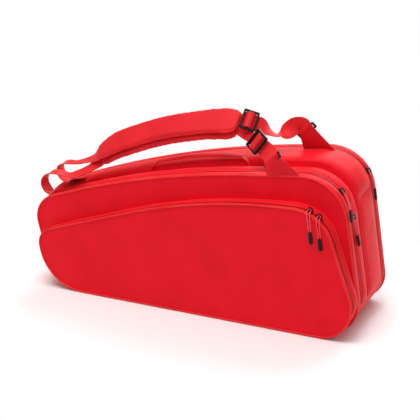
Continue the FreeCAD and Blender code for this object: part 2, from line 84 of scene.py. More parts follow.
for azimuth, height, power, size in LAMPS:
    bpy.ops.object.light_add(type="AREA")
    lamp = bpy.context.object
    lamp.data.energy, lamp.data.size = power, size
    aimed(lamp, math.radians(azimuth), math.radians(height), LAMP_AWAY)

world = bpy.data.worlds.new("studio_sky")
scene.world = world
world.use_nodes = True
sky = world.node_tree.nodes["Background"]
plain = world.node_tree.nodes.new("ShaderNodeBackground")
plain.inputs["Color"].default_value = (1, 1, 1, 1)
sky.inputs["Color"].default_value = (1, 1, 1, 1)
sky.inputs["Strength"].default_value = SKY_STRENGTH
seen = world.node_tree.nodes.new("ShaderNodeLightPath")
choice = world.node_tree.nodes.new("ShaderNodeMixShader")
links = world.node_tree.links
links.new(seen.outputs["Is Camera Ray"], choice.inputs[0])
links.new(sky.outputs[0], choice.inputs[1])
links.new(plain.outputs[0], choice.inputs[2])
links.new(choice.outputs[0], world.node_tree.nodes["World Output"].inputs["Surface"])

bpy.ops.mesh.primitive_plane_add(size=14)
floor = bpy.context.object
floor.name = "studio_floor"
floor_paint = bpy.data.materials.new("floor_paint")
floor_paint.use_nodes = True
paint = floor_paint.node_tree.nodes["Principled BSDF"]
paint.inputs["Base Color"].default_value = (0.93, 0.93, 0.93, 1)
paint.inputs["Roughness"].default_value = 0.9
floor.data.materials.append(floor_paint)
grow = floor_paint.node_tree.nodes.new
span = grow("ShaderNodeVectorMath")
span.operation = "MULTIPLY"
span.inputs[1].default_value = (1 / FADE_LONG, 1 / FADE_DEEP, 0)
away = grow("ShaderNodeVectorMath")
away.operation = "LENGTH"
fade = grow("ShaderNodeMapRange")
fade.interpolation_type = "SMOOTHSTEP"
fade.inputs["From Min"].default_value = FADE_START
fade.inputs["From Max"].default_value = FADE_END
by_camera = grow("ShaderNodeMath")
by_camera.operation = "MULTIPLY"
backdrop = grow("ShaderNodeEmission")
merged = grow("ShaderNodeMixShader")
join = floor_paint.node_tree.links.new
join(grow("ShaderNodeTexCoord").outputs["Object"], span.inputs[0])
join(span.outputs[0], away.inputs[0])
join(away.outputs["Value"], fade.inputs["Value"])
join(fade.outputs[0], by_camera.inputs[0])
join(grow("ShaderNodeLightPath").outputs["Is Camera Ray"], by_camera.inputs[1])
join(by_camera.outputs[0], merged.inputs[0])
join(paint.outputs[0], merged.inputs[1])
join(backdrop.outputs[0], merged.inputs[2])
join(merged.outputs[0], floor_paint.node_tree.nodes["Material Output"].inputs["Surface"])


# ---- Red shell cloth ------------------------------------------------------------------------
# Satin polyester with a fine diagonal weave over thin foam. The colour wanders a little with the dye and is
# painted darker in the weave's valleys as painted shade, and the threads stand up as a shallow bump.
RED = (0.86, 0.006, 0.020)
DEEP_RED = (0.72, 0.003, 0.013)
CORAL = (1.0, 0.26, 0.20)


def cloth(name, light, dark, pitch, rough=0.55, sheen=0.5, depth=0.00012, uv=False):
    """A woven finish: two crossing sets of threads, pitch apart, slow patches of colour, and painted shade in
    the valleys between the threads.
    """
    made = bpy.data.materials.new(name)
    made.use_nodes = True
    tree, new = made.node_tree, made.node_tree.nodes.new
    skin = tree.nodes["Principled BSDF"]
    place = new("ShaderNodeTexCoord").outputs["UV" if uv else "Object"]
    threads = []
    for turn in (42, -48):
        mapping = new("ShaderNodeMapping")
        mapping.inputs["Rotation"].default_value = [math.radians(a) for a in (turn, turn / 2, turn)]
        tree.links.new(place, mapping.inputs["Vector"])
        wave = new("ShaderNodeTexWave")
        wave.inputs["Scale"].default_value = 0.314 / pitch
        wave.inputs["Distortion"].default_value = 0.6
        tree.links.new(mapping.outputs[0], wave.inputs["Vector"])
        threads.append(wave.outputs["Fac"])
    weave = new("ShaderNodeMath")
    weave.operation = "MAXIMUM"
    tree.links.new(threads[0], weave.inputs[0])
    tree.links.new(threads[1], weave.inputs[1])
    patches = new("ShaderNodeTexNoise")
    patches.inputs["Scale"].default_value = 14
    patches.inputs["Detail"].default_value = 5
    tree.links.new(place, patches.inputs["Vector"])
    # Dye patches plus the weave's height, so the colour is painted darker in the weave's valleys: painted
    # shade.
    dye_and_valley_shade = new("ShaderNodeMath")
    dye_and_valley_shade.operation = "MULTIPLY_ADD"
    dye_and_valley_shade.inputs[1].default_value = 0.3
    tree.links.new(weave.outputs[0], dye_and_valley_shade.inputs[0])
    tree.links.new(patches.outputs["Fac"], dye_and_valley_shade.inputs[2])
    ramp = new("ShaderNodeValToRGB")
    ramp.color_ramp.elements[0].position, ramp.color_ramp.elements[1].position = 0.35, 0.85
    ramp.color_ramp.elements[0].color = (*dark, 1)
    ramp.color_ramp.elements[1].color = (*light, 1)
    tree.links.new(dye_and_valley_shade.outputs[0], ramp.inputs[0])
    tree.links.new(ramp.outputs[0], skin.inputs["Base Color"])
    bump = new("ShaderNodeBump")
    bump.inputs["Distance"].default_value = depth
    bump.inputs["Strength"].default_value = 0.6
    tree.links.new(weave.outputs[0], bump.inputs["Height"])
    tree.links.new(bump.outputs[0], skin.inputs["Normal"])
    skin.inputs["Roughness"].default_value = rough
    skin.inputs["Sheen Weight"].default_value = sheen
    skin.inputs["Sheen Roughness"].default_value = 0.3
    skin.inputs["Sheen Tint"].default_value = (*CORAL, 1)
    skin.inputs["Specular IOR Level"].default_value = 0.12
    return made


shell_cloth = cloth("red_shell_cloth", RED, DEEP_RED, 0.0011)
ZIP_END = 0.060
HALF_DEPTH, TAPER = 0.104, 24 / 370


def half_depth(x):
    """Half the bag's depth at x; it is deeper towards the head end."""
    return HALF_DEPTH + TAPER * x


def rounded(corners, spacing=0.006):
    """A closed outline in (x, z) from corners with radii, as evenly spaced points clockwise
    from the lower head end, over the floor and the tail, to the top and the head end."""
    points = []
    for i, (x, z, radius) in enumerate(corners):
        here = Vector((x, z))
        before = Vector(corners[i - 1][:2]) - here
        after = Vector(corners[(i + 1) % len(corners)][:2]) - here
        half = before.angle(after) / 2
        reach = radius / math.tan(half)
        start, end = here + before.normalized() * reach, here + after.normalized() * reach
        centre = here + (before.normalized() + after.normalized()).normalized() * (radius / math.sin(half))
        first = math.atan2(start.y - centre.y, start.x - centre.x)
        turn = (math.atan2(end.y - centre.y, end.x - centre.x) - first + math.pi) % (2 * math.pi) - math.pi
        steps = max(4, round(abs(turn) * radius / spacing))
        if points:
            points += stretch(points[-1], start, spacing)
        for k in range(steps + 1):
            angle = first + turn * k / steps
            points.append(centre + Vector((math.cos(angle), math.sin(angle))) * radius)
    return points + stretch(points[-1], points[0], spacing)


def stretch(start, end, spacing):
    """Points between two ends of a straight run."""
    count = round((end - start).length / spacing)
    return [start.lerp(end, k / count) for k in range(1, count)]


def turned_to_start(points, starts):
    """The loop read from the tail, where the zip starts, over the top; the floor comes last."""
    loop = list(reversed(points))
    first = next(i for i, p in enumerate(loop) if starts(p) and not starts(loop[i - 1]))
    loop = loop[first:] + loop[:first]
    lengths = [0.0]
    for a, b in zip(loop, loop[1:] + loop[:1]):
        lengths.append(lengths[-1] + (b - a).length)
    return loop + loop[:1], lengths


def on_path(path, s):
    """Point and outward direction at length s of an outline."""
    points, lengths = path
    s = min(max(s, 0.0), lengths[-1])
    low, high = 0, len(lengths) - 1
    while high - low > 1:
        middle = (low + high) // 2
        low, high = (middle, high) if lengths[middle] <= s else (low, middle)
    a, b = points[low], points[high]
    point = a.lerp(b, (s - lengths[low]) / (lengths[high] - lengths[low]))
    last = len(points) - 1
    ahead = points[min(high + 1, last)] - points[max(low - 1, 0)]
    return Vector((point.x, 0, point.y)), Vector((-ahead.y, 0, ahead.x)).normalized()


def top_height(path, x):
    """Height of an outline's top at x."""
    points = path[0]
    a, b = next((p, q) for p, q in zip(points, points[1:]) if p.x <= x <= q.x)
    return a.lerp(b, (x - a.x) / max(b.x - a.x, 1e-9)).y


def falls_to(path, height, right_of=0.0):
    """Length at which an outline comes down to a height at its head end."""
    points, lengths = path
    return next(lengths[i] for i, p in enumerate(points) if p.x > right_of and p.y < height)


def body_outline(rise):
    """Side view of a compartment; the rear one stands a little taller."""
    return rounded([
        (-0.344, 0.0, 0.125), (0.386, 0.0, 0.060), (0.3315, 0.334 + rise, 0.096),
        (-0.0965, 0.291 + rise, 1.95), (-0.391, 0.1865 + 0.4 * rise, 0.055),
    ])


FRONT = turned_to_start(body_outline(0.0), lambda p: p.y > ZIP_END)
REAR = turned_to_start(body_outline(0.016), lambda p: p.y > ZIP_END)
FRONT_WALL, FRONT_ZIP, REAR_ZIP, POCKET_ZIP = -0.62, -0.38, 0.85, -0.88
GROOVE = 0.006
TAPE_EDGE = 0.0054         # from a zip's middle to the far edge of its tape
HEAD_SEAM = 0.268
GATHER_AT, GATHER_SPREAD = 0.27, 0.075    # along an outline from the tail


def chosen(piece):
    """Selects one piece alone and makes it the active one."""
    bpy.ops.object.select_all(action="DESELECT")
    piece.select_set(True)
    bpy.context.view_layer.objects.active = piece


def laid(name, long, wide, place, outward):
    """A grid of long by wide faces whose vertices go where place(u, v) says, facing outward."""
    bpy.ops.object.select_all(action="DESELECT")
    bpy.ops.mesh.primitive_grid_add(x_subdivisions=long, y_subdivisions=wide, size=2)
    piece = bpy.context.object
    piece.name = piece.data.name = name
    for vertex in piece.data.vertices:
        vertex.co = place((vertex.co.x + 1) / 2, (vertex.co.y + 1) / 2)
    piece.data.update()
    middle = piece.data.polygons[(wide // 2) * long + long // 2]
    bpy.ops.object.mode_set(mode="EDIT")
    bpy.ops.mesh.select_all(action="SELECT")
    if middle.normal.dot(outward) < 0:
        bpy.ops.mesh.flip_normals()
    bpy.ops.mesh.remove_doubles(threshold=0.00005)
    bpy.ops.object.mode_set(mode="OBJECT")
    return piece


def thickened(piece, thick, middle=False):
    """Gives a cloth skin its thickness, inwards or about its middle."""
    bpy.context.view_layer.objects.active = piece
    wall = piece.modifiers.new("wall", "SOLIDIFY")
    wall.thickness, wall.offset = thick, 0.0 if middle else -1.0
    bpy.ops.object.modifier_apply(modifier="wall")
    return piece


def dressed(piece, material, body=None):
    """Smooth shading, finish and the body that the piece rides on."""
    chosen(piece)
    bpy.ops.object.shade_smooth_by_angle(angle=math.radians(50))
    piece.data.materials.clear()
    piece.data.materials.append(material)
    if body:
        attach(piece, body)
    return piece


def depth_at(side, x):
    """How deep a seam lies at x; side is its share of the half depth and a distance from it."""
    return side[0] * half_depth(x) + side[1]


def strip(name, path, first, last, front, rear, puff, body, *nodes, wander=0.0012, thick=0.003, gathers=0.0):
    """A gusset strip between two seams: crowned across, drawn in at its seams and a little creased.
    gathers is how high the small puckers stand near the tail, where the cloth is eased in."""
    wide = max(6, round((depth_at(rear, 0.1) - depth_at(front, 0.1)) / 0.005))
    long = round((last - first) / 0.006)

    def place(u, v):
        s = first + (last - first) * u
        point, out = on_path(path, s)
        ends = min(1.0, min(u, 1 - u) * (last - first) / 0.025)
        crown = (4 * v * (1 - v)) ** 0.6 * (1 - (1 - ends) ** 2)
        crease = noise.noise(Vector((s * 16, v * 2.2, len(name))))
        crease += 0.5 * noise.noise(Vector((s * 45, v * 3, 7)))
        eased = math.exp(-((s - GATHER_AT) / GATHER_SPREAD) ** 2) * math.sin(math.pi * v)
        pucker = eased * abs(noise.noise(Vector((s * 75, v * 1.3, 11)))) * gathers
        point = point + out * (puff * crown + wander * crown * crease - pucker - 0.0004)
        point.y = depth_at(front, point.x) * (1 - v) + depth_at(rear, point.x) * v
        return point

    piece = laid(name, long, wide, place, on_path(path, (first + last) / 2)[1])
    thickened(piece, thick)
    dressed(piece, shell_cloth, body)
    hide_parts(*nodes)
    return piece


def face_panel(name, path, split, side, facing, puff, body, *nodes, sag=0.0015, steps=(110, 46)):
    """A wall cut to a whole outline: it swells between its edges and hangs in soft, shallow waves."""
    points, lengths = path
    total = lengths[-1]
    edge = kdtree.KDTree(len(points))
    for i, p in enumerate(points):
        edge.insert((p.x, 0, p.y), i)
    edge.balance()

    def place(u, v):
        upper = on_path(path, split * u)[0]
        lower = on_path(path, total - (total - split) * u)[0]
        point = lower.lerp(upper, (1 - math.cos(math.pi * v)) / 2)
        inside = edge.find(point)[2]
        dome = 1 - math.exp(-inside / 0.022)
        wave = noise.noise(Vector((point.x * 5 + point.z * 4, point.z * 11 - point.x * 2, len(name))))
        small = noise.noise(Vector((point.x * 22 + point.z * 14, point.z * 30, 3)))
        near_edge = math.exp(-inside / 0.05)
        point.y = depth_at(side, point.x) + facing * dome * (puff + sag * wave + 0.0007 * small * near_edge)
        return point

    piece = laid(name, *steps, place, Vector((0, facing, 0)))
    thickened(piece, 0.003)
    dressed(piece, shell_cloth, body)
    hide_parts(*nodes)
    return piece


def piping(name, path, first, last, side, radius, body, material, lift=0.0):
    """A round cord in a bias strip, sewn into a seam."""
    count = round((last - first) / 0.005)
    curve = bpy.data.curves.new(name, "CURVE")
    curve.dimensions, curve.bevel_depth, curve.bevel_resolution = "3D", radius, 2
    line = curve.splines.new("POLY")
    whole = last - first > path[1][-1] - 0.001
    line.points.add(count - 1 if whole else count)
    line.use_cyclic_u = whole
    for k, at in enumerate(line.points):
        point, out = on_path(path, first + (last - first) * k / count)
        point = point + out * lift
        at.co = (point.x, depth_at(side, point.x), max(point.z, radius), 1)
    piece = bpy.data.objects.new(name, curve)
    scene.collection.objects.link(piece)
    chosen(piece)
    bpy.ops.object.convert(target="MESH")
    return dressed(bpy.context.object, material, body)


# ---- Compartments ---------------------------------------------------------------------------
# Two rooms for rackets side by side. Each has a long gusset over its top, a stiffer one down the
# head end, and a wall that folds out at its foot. All are sewn inside out and turned.
# The piping's cloth is a lighter, more orange red than the shell: painted light, standing in for the top light
# on the piping and the zip welts.
piping_cloth_painted_light = cloth("piping_cloth_painted_light", (0.86, 0.035, 0.035), RED, 0.0009, rough=0.45)
front_top, front_foot = falls_to(FRONT, HEAD_SEAM, 0.3), falls_to(FRONT, ZIP_END, 0.3)
rear_top, rear_foot = falls_to(REAR, HEAD_SEAM, 0.3), falls_to(REAR, ZIP_END, 0.3)
front_room = (FRONT_ZIP, TAPE_EDGE), (0, -GROOVE)
rear_room = (0, GROOVE), (REAR_ZIP, -TAPE_EDGE)
strip("front_compartment_top", FRONT, 0, front_top, *front_room, 0.005, "bag", "front_top_panel", gathers=0.007)
strip("front_compartment_head", FRONT, front_top, front_foot, *front_room, 0.004, "bag", "front_head_panel")
strip("rear_compartment_top", REAR, 0, rear_top, *rear_room, 0.006, "bag", "rear_top_panel")
strip("rear_compartment_head", REAR, rear_top, rear_foot, *rear_room, 0.006, "bag", "rear_head_panel")
GROOVE_SECTION = [(-GROOVE, 0, 0), (-0.0032, 0.1, 0.003), (0, 0.4, 0.006), (0.0024, 0.86, 0.0008),
                  (GROOVE, 1, 0)]


def in_groove(u, v):
    """The cloth that joins the compartments: it dips between them and climbs to the taller rear one."""
    part = v * (len(GROOVE_SECTION) - 1)
    i = min(int(part), len(GROOVE_SECTION) - 2)
    y, share, drop = (a + (b - a) * (part - i) for a, b in zip(GROOVE_SECTION[i], GROOVE_SECTION[i + 1]))
    low, out = on_path(FRONT, front_foot * u)
    high = on_path(REAR, rear_foot * u)[0]
    point = low.lerp(high, share) - out * drop
    return Vector((point.x, y, point.z))


valley = laid("compartment_valley", 240, 16, in_groove, Vector((0, 0, 1)))
thickened(valley, 0.001)
dressed(valley, shell_cloth, "bag")
HINGE = 0.0054             # from a folding wall's face to the base behind it
strip("bag_base", FRONT, front_foot, FRONT[1][-1], (FRONT_WALL, HINGE), (1, -HINGE), 0.0, "bag", "base_panel",
      wander=0.0)
strip("front_lid_gusset", FRONT, 0.0005, front_foot - 0.0005, (FRONT_WALL, 0.0), (FRONT_ZIP, -TAPE_EDGE), 0.003,
      "front_lid", "front_lid_band", gathers=0.006)
strip("rear_lid_gusset", REAR, 0.0005, rear_foot - 0.0005, (REAR_ZIP, TAPE_EDGE), (1, 0.0), 0.002,
      "rear_lid", "rear_lid_band")
face_panel("front_lid_wall", FRONT, front_foot, (FRONT_WALL, 0.001), -1, 0.002, "front_lid", "front_wall")
face_panel("rear_lid_wall", REAR, rear_foot, (1, -0.001), 1, 0.007, "rear_lid", "rear_wall", sag=0.003)
piping("front_lid_piping", FRONT, 0, FRONT[1][-1], (FRONT_WALL, 0.0), 0.0019, "front_lid", piping_cloth_painted_light)
piping("rear_lid_piping", REAR, 0, REAR[1][-1], (1, 0.0), 0.0019, "rear_lid", piping_cloth_painted_light)


# ---- Front pocket -----------------------------------------------------------------------------
# A deep pocket over nearly the whole front. Its gusset is sewn to the front wall, and the zip in
# the gusset runs over its top and down the head end, so that its panel folds forward.
POCKET_FLOOR, POCKET_ZIP_START = 0.003, -0.3065
pocket_outline = rounded([
    (-0.342, POCKET_FLOOR, 0.105), (0.405, POCKET_FLOOR, 0.068), (0.306, 0.272, 0.088),
    (0.0445, 0.266, 1.27), (-0.3665, 0.127, 0.038),
])
POCKET = turned_to_start(pocket_outline, lambda p: p.x > POCKET_ZIP_START and p.y > ZIP_END)
pocket_foot = falls_to(POCKET, ZIP_END, 0.3)
strip("pocket_gusset_zipped", POCKET, 0, pocket_foot, (POCKET_ZIP, TAPE_EDGE), (FRONT_WALL, 0.0), 0.003,
      "front_lid", "pocket_gusset")
strip("pocket_gusset_lower", POCKET, pocket_foot, POCKET[1][-1], (-1, 0.0044), (FRONT_WALL, 0.0), 0.001,
      "front_lid", "pocket_gusset", wander=0.0004)
strip("pocket_flap_gusset", POCKET, 0.0005, pocket_foot - 0.0005, (-1, 0.0), (POCKET_ZIP, -TAPE_EDGE), 0.0012,
      "pocket_flap", "pocket_flap_band", wander=0.0005)
face_panel("pocket_front_panel", POCKET, pocket_foot, (-1, 0.001), -1, 0.0035, "pocket_flap", "pocket_panel",
           sag=0.002, steps=(130, 60))
piping("pocket_piping", POCKET, 0, POCKET[1][-1], (-1, 0.0), 0.0021, "pocket_flap", piping_cloth_painted_light)


# ---- Zips -------------------------------------------------------------------------------------
# Coil zips dyed to match: a tape on each side of the line, and half a nylon coil sewn to each.
tape_cloth = cloth("zip_tape_cloth", (0.66, 0.012, 0.02), DEEP_RED, 0.0008, rough=0.6, sheen=0.2)
coil_nylon = cloth("zip_coil_nylon", (0.38, 0.005, 0.010), (0.22, 0.002, 0.004), 0.002, rough=0.32, sheen=0.0)
TOOTH_STEP, TOOTH = 0.0022, Vector((0.0011, 0.0022, 0.0012))
ZIP_STOP, WELT = 0.003, 0.0009         # bare tape at each end, and the radius of the cloth lip beside it


def finished(node, material):
    """Puts a finish on a piece that comes from the CAD."""
    frame["nodes"][node].data.materials.clear()
    frame["nodes"][node].data.materials.append(material)


def piece_from(mesh, name):
    """Turns a working mesh into a piece in the scene."""
    data = bpy.data.meshes.new(name)
    mesh.to_mesh(data)
    mesh.free()
    piece = bpy.data.objects.new(name, data)
    scene.collection.objects.link(piece)
    return piece


def coil(name, path, first, last, share, side, body):
    """Half of a coil: one small loop of nylon for each tooth, in step with the half across from it."""
    mesh = bmesh.new()
    count = int((last - first) / TOOTH_STEP)
    for k in range(count):
        point, out = on_path(path, first + TOOTH_STEP * (k + 0.5 * (side > 0)))
        point = point + out * 0.0003
        point.y = share * half_depth(point.x) + side * 0.0009
        along = Vector((0, 1, 0)).cross(out)
        turn = Matrix((along, Vector((0, 1, 0)), out)).transposed().to_4x4()
        size = Matrix.Diagonal(TOOTH).to_4x4()
        bmesh.ops.create_cube(mesh, size=1, matrix=Matrix.Translation(point) @ turn @ size)
    return dressed(piece_from(mesh, name), coil_nylon, body)


for zip_name, path, foot, share, front_body, rear_body in (
    ("front_zip", FRONT, front_foot, FRONT_ZIP, "front_lid", "bag"),
    ("rear_zip", REAR, rear_foot, REAR_ZIP, "bag", "rear_lid"),
    ("pocket_zip", POCKET, pocket_foot, POCKET_ZIP, "pocket_flap", "front_lid"),
):
    first, last = ZIP_STOP, foot - ZIP_STOP
    coil(zip_name + "_coil_ahead", path, first, last, share, -1, front_body)
    coil(zip_name + "_coil_behind", path, first, last, share, 1, rear_body)
    for half, side, body in (("ahead", -1, front_body), ("behind", 1, rear_body)):
        piping("%s_welt_%s" % (zip_name, half), path, first, last, (share, side * TAPE_EDGE), WELT, body,
               piping_cloth_painted_light, lift=0.0004)
        finished("%s_tape_%s" % (zip_name, half), tape_cloth)


# ---- Zip sliders and pulls ----------------------------------------------------------------------
# Black painted sliders. Each has a loop of braided red cord through its crown, whose two ends are
# moulded into a ribbed black tip.
def plastic(name, colour, rough, grain):
    """Moulded plastic or paint with a fine grain."""
    made = bpy.data.materials.new(name)
    made.use_nodes = True
    tree = made.node_tree
    skin = tree.nodes["Principled BSDF"]
    place = tree.nodes.new("ShaderNodeTexCoord")
    speckle = tree.nodes.new("ShaderNodeTexNoise")
    speckle.inputs["Scale"].default_value = 900
    tree.links.new(place.outputs["Object"], speckle.inputs["Vector"])
    bump = tree.nodes.new("ShaderNodeBump")
    bump.inputs["Distance"].default_value = grain
    tree.links.new(speckle.outputs["Fac"], bump.inputs["Height"])
    tree.links.new(bump.outputs[0], skin.inputs["Normal"])
    ramp = tree.nodes.new("ShaderNodeValToRGB")
    ramp.color_ramp.elements[0].color = (*[0.7 * c for c in colour], 1)
    ramp.color_ramp.elements[1].color = (*[1.3 * c for c in colour], 1)
    tree.links.new(speckle.outputs["Fac"], ramp.inputs[0])
    tree.links.new(ramp.outputs[0], skin.inputs["Base Color"])
    skin.inputs["Roughness"].default_value = rough
    skin.inputs["Specular IOR Level"].default_value = 0.2
    return made


slider_paint = plastic("slider_paint", (0.012, 0.012, 0.013), 0.28, 0.00003)
slider_paint.node_tree.nodes["Principled BSDF"].inputs["Metallic"].default_value = 0.2
tip_rubber = plastic("tip_rubber", (0.006, 0.006, 0.0065), 0.5, 0.00008)
pull_cord_braid = cloth("pull_cord_braid", (0.95, 0.16, 0.18), (0.70, 0.03, 0.05), 0.0007, rough=0.6)
PULL_ROUTE = [(0, 0.2), (0, 3.5), (4, 3.6), (10, 3.5), (18, 3.2), (29, 2.7), (38, 2.2), (44, 1.9), (48, 1.9)]
EYE_SPREAD, EYE_CLEAR = 0.5, 0.008
CORD_THICK, PULL_GAP = 0.0018, 0.003
POCKET_PULL_LONG, POCKET_PULL_LEAN = 0.54, 0.14
PULL_DRIFT = {"front_zip_upper": -0.4, "front_zip_lower": 0.25}
TIP_START = 0.042          # how far the moulded tip starts from the slider
ACROSS = Vector((0, 1, 0))


def side_down(top, foot):
    """Direction down the straight run at the head end between two heights of an outline."""
    return (on_path(*foot)[0] - on_path(*top)[0]).normalized()


def over_pocket_edge(pivot, along):
    """Route of a pocket pull: forward to the pocket's edge, then down its panel, leaning headwards."""
    ahead = pivot.y + half_depth(pivot.x) + CORD_THICK / 2 + PULL_GAP

    def line(distance):
        run = distance + POCKET_PULL_LONG * max(0.0, distance - EYE_CLEAR)
        drop = max(0.0, run - ahead)
        return pivot + Vector((drop * POCKET_PULL_LEAN, -min(run, ahead), -drop))

    def parting(distance):
        turned = min(1.0, distance / ahead)
        spread = min(1.0, EYE_SPREAD + (1 - EYE_SPREAD) * distance / EYE_CLEAR)
        return (along * (1 - turned) + Vector((turned, 0, 0))).normalized() * spread

    return line, parting


def down_head_end(pivot, centre, down, drift):
    """Route of a pull at the head end: round the corner, then straight down, drifting to one side."""
    outward = down.cross(ACROSS)
    spoke = pivot - centre
    bend = max(0.0, spoke.angle(outward)) if spoke.dot(down) < 0 else 0.0
    bent = bend * spoke.length
    begin = centre + outward * spoke.length if bend else pivot

    def line(distance):
        aside = ACROSS * (drift * max(0.0, distance - EYE_CLEAR))
        if distance >= bent:
            return begin + down * (distance - bent) + aside
        left = bend - distance / spoke.length
        return centre + (outward * math.cos(left) - down * math.sin(left)) * spoke.length + aside

    return line, lambda distance: ACROSS


def moulded_tip(name, start, along, flat_side):
    """A flat tapering tip with grip ribs, round at its free end."""
    bpy.ops.object.select_all(action="DESELECT")
    bpy.ops.mesh.primitive_cube_add(size=1)
    piece = bpy.context.object
    piece.name = piece.data.name = name
    bpy.ops.object.mode_set(mode="EDIT")
    bpy.ops.mesh.subdivide(number_cuts=13)
    bpy.ops.object.mode_set(mode="OBJECT")
    for vertex in piece.data.vertices:
        t = vertex.co.x + 0.5
        grow = 0.72 + 0.28 * min(1.0, t / 0.35)
        rib = 0.12 if 0.3 < t < 0.85 and round(t * 14) % 2 else 0.0
        squeeze = math.sqrt(max(0.0, 1 - max(0.0, (t - 0.86) / 0.14) ** 2)) * 0.55 + 0.45
        corner = Vector((vertex.co.y, vertex.co.z)) * 2
        round_off = 1 / max(1.0, (corner.x ** 4 + corner.y ** 4) ** 0.25)
        vertex.co = (t * 0.026, corner.x * round_off * 0.004 * grow * squeeze,
                     corner.y * round_off * 0.0022 * (1 - rib) * squeeze)
    lifted = along.cross(flat_side)
    piece.data.transform(Matrix((along, flat_side, lifted)).transposed().to_4x4())
    piece.data.transform(Matrix.Translation(start))
    piece.data.update()
    return piece


for pull in ("front_zip_upper", "front_zip_lower", "rear_zip", "pocket_zip_upper", "pocket_zip_lower"):
    pivot = Vector(joints[pull + "_pull_swing"]["pos_m"])
    if pull.startswith("pocket"):
        centre = Vector(joints[pull + "_run"]["pos_m"])
        line, parting = over_pocket_edge(pivot, ACROSS.cross(pivot - centre).normalized())
    else:
        path = REAR if pull == "rear_zip" else FRONT
        down = side_down((path, falls_to(path, 0.20, 0.2)), (path, falls_to(path, 0.12, 0.2)))
        centre = joints["rear_zip_run" if path is REAR else "front_zip_upper_run"]["pos_m"]
        centre = Vector((centre[0], pivot.y, centre[2]))
        line, parting = down_head_end(pivot, centre, down, PULL_DRIFT.get(pull, 0.0))
    legs = [line(d / 1000) + parting(d / 1000) * (part / 1000) for d, part in PULL_ROUTE]
    legs += [line(d / 1000) - parting(d / 1000) * (part / 1000) for d, part in reversed(PULL_ROUTE)]
    route = bpy.data.curves.new(pull + "_pull_cord", "CURVE")
    route.dimensions, route.use_fill_caps = "3D", True
    route.bevel_depth, route.bevel_resolution, route.resolution_u = CORD_THICK / 2, 3, 6
    spline = route.splines.new("NURBS")
    spline.points.add(len(legs) - 1)
    for at, leg in zip(spline.points, legs):
        at.co = (*leg, 1)
    spline.order_u = 3
    spline.use_endpoint_u = True
    cord = bpy.data.objects.new(pull + "_pull_cord", route)
    scene.collection.objects.link(cord)
    route.materials.append(pull_cord_braid)
    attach(cord, pull + "_pull")
    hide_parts(pull + "_cord")
    end = PULL_ROUTE[-1][0] / 1000
    along = (line(end) - line(end - 0.001)).normalized()
    flat_side = (parting(end) - along * along.dot(parting(end))).normalized()
    tip = dressed(moulded_tip(pull + "_pull_tip", line(TIP_START), along, flat_side), tip_rubber,
                  pull + "_pull")
    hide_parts(pull + "_tip")
    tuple(legs[0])
    finished(pull + "_slider", slider_paint)


# ---- Divider, boards and foam ---------------------------------------------------------------------
# What the compartments share inside: a foam sheet between two skins of dark lining, and two plastic
# boards that keep the base flat. They show when a wall is folded out.
lining_cloth = cloth("lining_cloth", (0.055, 0.052, 0.055), (0.022, 0.02, 0.022), 0.0012, rough=0.7, sheen=0.1)
lining_cloth.node_tree.nodes["Principled BSDF"].inputs["Sheen Tint"].default_value = (0.5, 0.5, 0.5, 1)
divider_foam = plastic("divider_foam_grain", (0.16, 0.16, 0.17), 0.85, 0.0004)
board_plastic = plastic("base_board_plastic", (0.06, 0.06, 0.065), 0.5, 0.0001)
for node, finish in (
    ("front_divider", lining_cloth), ("rear_divider", lining_cloth),
    ("divider_foam", divider_foam), ("base_boards", board_plastic),
):
    finished(node, finish)


# ---- Shoulder pads ----------------------------------------------------------------------------
# Two foam pads in satin cloth, one under the other. Each has a row of stitches inside each long
# edge and is drawn in across its tail end, so the foam swells between the lines.
pad_cloth = cloth("pad_cloth", (0.78, 0.018, 0.026), (0.60, 0.008, 0.016), 0.0010, rough=0.5, sheen=0.45)
stitch_thread = cloth("stitch_thread", (0.85, 0.05, 0.05), (0.6, 0.02, 0.03), 0.0005, rough=0.5)
SLOPE, LEAN = Vector((0, -1, -1)).normalized(), Vector((0, -1, 1)).normalized()
PAD_STATIONS = [(-0.248, 0.298, 0.60), (-0.231, 0.311, 0.88), (-0.190, 0.336, 1), (-0.097, 0.373, 1),
                (0.0, 0.397, 1), (0.058, 0.405, 1), (0.078, 0.406, 0.82), (0.086, 0.4055, 0.64)]
PAD_Y, PAD_WIDE, PAD_THICK, PAD_STEP, PAD_SLIP = -0.0025, 0.066, 0.0126, 0.0132, 0.0074
SEAM_INSET, SWELL_WIDE, SWELL_THICK = 0.0065, 0.0005, 0.0015    # room left for the foam to swell


def through(stations, t):
    """A smooth value between stations, which may be numbers or points; t runs from 0 to 1."""
    place = min(max(t, 0.0), 1.0) * (len(stations) - 1)
    i = min(int(place), len(stations) - 2)
    part = place - i
    a, b = stations[max(i - 1, 0)], stations[i]
    c, d = stations[i + 1], stations[min(i + 2, len(stations) - 1)]
    return ((b * 2) + (c - a) * part + (a * 2 - b * 5 + c * 4 - d) * part ** 2
            + (b * 3 - a - c * 3 + d) * part ** 3) * 0.5


def run_of(stations, across):
    """Functions for the middle, the width direction and the face direction along a strap."""
    def middle(t):
        return through(stations, t)

    def turned(t):
        ahead = (middle(min(t + 0.01, 1)) - middle(max(t - 0.01, 0))).normalized()
        wanted = through(across, t)
        side = (wanted - ahead * wanted.dot(ahead)).normalized()
        return side, ahead.cross(side)

    return middle, turned


def rolled(name, stations, across, wide, thick, long=64, round_about=28, squareness=3.2):
    """A closed padded form along a strap, rounded in section and drawn in at both ends."""
    middle, turned = run_of(stations, across)

    def place(u, v):
        side, face = turned(u)
        angle = 2 * math.pi * v
        c, s = math.cos(angle), math.sin(angle)
        size = (abs(c) ** squareness + abs(s) ** squareness) ** (-1 / squareness)
        end = max(0.0, 1 - abs(2 * u - 1) ** 26) ** 0.5
        half_wide = through(wide, u) / 2 * (0.7 + 0.3 * end)
        return middle(u) + side * (c * size * half_wide * max(end, 0.001)) + face * (s * size * thick / 2 * end)

    return laid(name, long, round_about, place, turned(0.5)[1])


